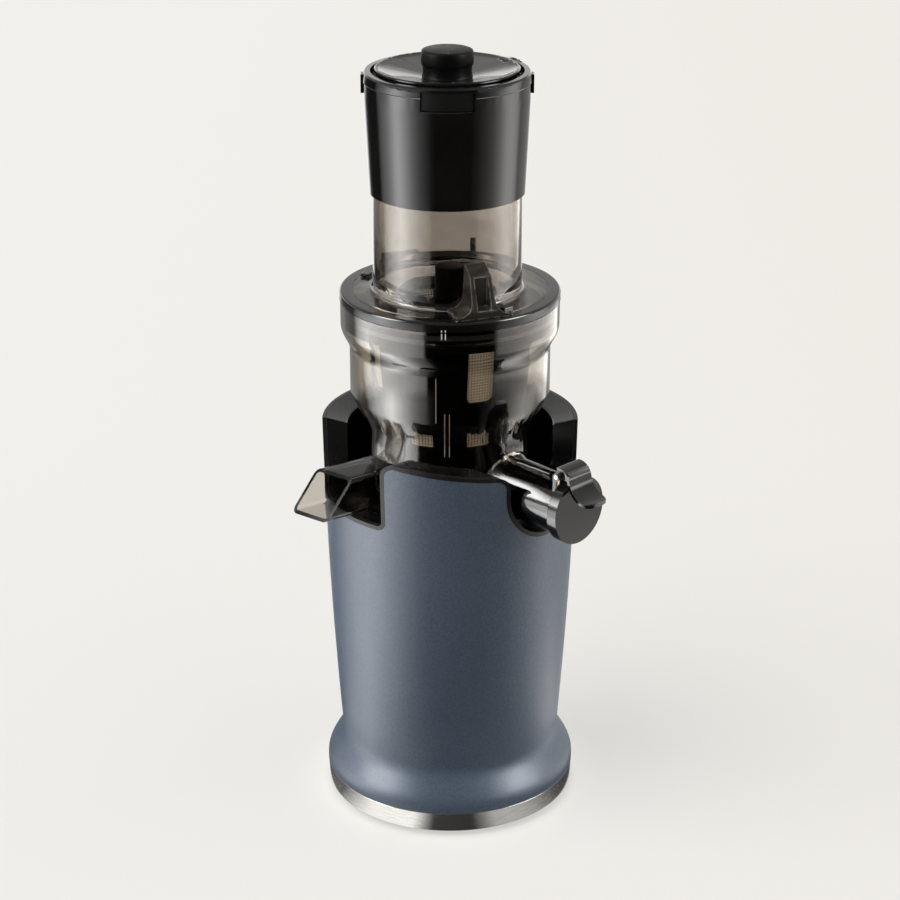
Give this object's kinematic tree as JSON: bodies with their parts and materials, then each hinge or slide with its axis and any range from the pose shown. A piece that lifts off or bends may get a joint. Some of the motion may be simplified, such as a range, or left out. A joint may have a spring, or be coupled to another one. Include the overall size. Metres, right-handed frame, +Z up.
{
  "type": "cold press juicer",
  "caption": "Upright cold press juicer with a flared motor base, clear juicing bowl, capped juice spout, pulp chute and a lidded feed hopper.",
  "frame": {"origin": "on the drive axis, in the plane of the worktop under the rubber feet", "axes": "+Z up along the drive axis, -Y towards the front, +X to the right as seen from the front"},
  "size_m": [0.194, 0.1778, 0.5003],
  "materials": {
    "base_steel": "polished and lightly brushed steel band",
    "foot_rubber": "matt black rubber",
    "inner_plastic": "moulded black plastic with a fine grain",
    "shell_paint": "slate blue metallic paint, satin",
    "gloss_black": "gloss black plastic",
    "knob_black": "satin black plastic",
    "smoke_clear": "clear plastic with a smoky tint",
    "seal_rubber": "soft dark rubber",
    "strainer_black": "matt black plastic",
    "mesh_tan": "fine tan sieve mesh",
    "auger_plastic": "hard dark plastic, satin",
    "bright_steel": "turned steel",
    "core_steel": "laminated steel and copper",
    "cast_aluminium": "cast aluminium",
    "bush_brass": "turned brass",
    "gear_nylon": "natural nylon",
    "board_green": "circuit board lacquer"
  },
  "bodies": {
    "root": {"base_plate": "inner_plastic", "base_band": "base_steel", "rubber_feet": "foot_rubber", "base_screws": "bright_steel", "housing_shell": "shell_paint", "housing_trim": "gloss_black", "bowl_collar": "inner_plastic", "deck": "inner_plastic", "deck_screws": "bright_steel", "motor_can": "bright_steel", "stator_core": "core_steel", "motor_bearings": "bright_steel", "gearbox_case": "cast_aluminium", "gearbox_lid": "cast_aluminium", "gearbox_screws": "bright_steel", "layshaft_bushes": "bush_brass", "output_bearings": "bright_steel", "shaft_seal": "seal_rubber", "hanger_posts": "bush_brass", "control_board": "board_green", "interlock_sensor": "inner_plastic", "switch_bezel": "inner_plastic", "power_inlet": "inner_plastic"},
    "rotor": {"motor_shaft": "bright_steel", "rotor_core": "core_steel", "cooling_fan": "inner_plastic"},
    "layshaft": {"layshaft": "bright_steel", "layshaft_gear": "gear_nylon", "layshaft_pinion": "bright_steel"},
    "output": {"output_gear": "bright_steel", "drive_shaft": "bright_steel"},
    "rocker": {"power_rocker": "inner_plastic"},
    "bowl": {"bowl": "smoke_clear", "spout_rod": "smoke_clear", "hub_gasket": "seal_rubber", "pulp_seal": "seal_rubber", "strainer_frame": "strainer_black", "strainer_mesh": "mesh_tan", "cap_hinge_pin": "bright_steel"},
    "cap": {"juice_cap": "gloss_black", "cap_seal": "seal_rubber"},
    "auger": {"auger": "auger_plastic", "auger_socket": "bright_steel"},
    "lid": {"bowl_lid": "smoke_clear", "lid_ring": "gloss_black", "lid_seal": "seal_rubber", "lid_grip": "smoke_clear", "hopper": "gloss_black", "side_clips": "gloss_black", "hopper_hinge_pin": "bright_steel"},
    "hopper_lid": {"hopper_lid": "gloss_black", "lid_knob": "knob_black", "knob_screw": "bright_steel"},
    "latch": {"hopper_latch": "gloss_black"}
  },
  "joints": [
    {"name": "motor_spin", "type": "hinge", "parent": "root", "child": "rotor", "pos_m": [0, 0, 0.1], "axis": [0, 0, 1], "continuous": true},
    {"name": "layshaft_spin", "type": "hinge", "parent": "root", "child": "layshaft", "pos_m": [0, 0.036, 0.13], "axis": [0, 0, 1], "continuous": true},
    {"name": "output_spin", "type": "hinge", "parent": "root", "child": "output", "pos_m": [0, 0, 0.18], "axis": [0, 0, 1], "continuous": true},
    {"name": "rocker_tilt", "type": "hinge", "parent": "root", "child": "rocker", "pos_m": [0, 0.06465, 0.091], "axis": [1, 0, 0], "range_deg": [-18, 0]},
    {"name": "bowl_lift", "type": "slide", "parent": "root", "child": "bowl", "axis": [0, 0, 1], "range_m": [0, 0.09]},
    {"name": "cap_hinge", "type": "hinge", "parent": "bowl", "child": "cap", "pos_m": [0.07354, -0.07354, 0.2547], "axis": [-0.7071, -0.7071, 0], "range_deg": [0, 95]},
    {"name": "auger_spin", "type": "hinge", "parent": "bowl", "child": "auger", "pos_m": [0, 0, 0.28], "axis": [0, 0, 1], "continuous": true},
    {"name": "lid_twist", "type": "hinge", "parent": "bowl", "child": "lid", "pos_m": [0, 0, 0.3433], "axis": [0, 0, 1], "range_deg": [0, 20]},
    {"name": "hopper_lid_hinge", "type": "hinge", "parent": "lid", "child": "hopper_lid", "pos_m": [0.04032, 0.02519, 0.4862], "axis": [-0.515, 0.8572, 0], "range_deg": [0, 100]},
    {"name": "latch_press", "type": "slide", "parent": "lid", "child": "latch", "axis": [0, 1, 0], "range_m": [0, 0.0008], "stiffness_N_per_m": 600, "springref_m": -0.0006}
  ],
  "couplings": [
    {"joint": "layshaft_spin", "follows": "motor_spin", "ratio": -0.2},
    {"joint": "output_spin", "follows": "motor_spin", "ratio": 0.066667},
    {"joint": "auger_spin", "follows": "motor_spin", "ratio": 0.066667}
  ]
}
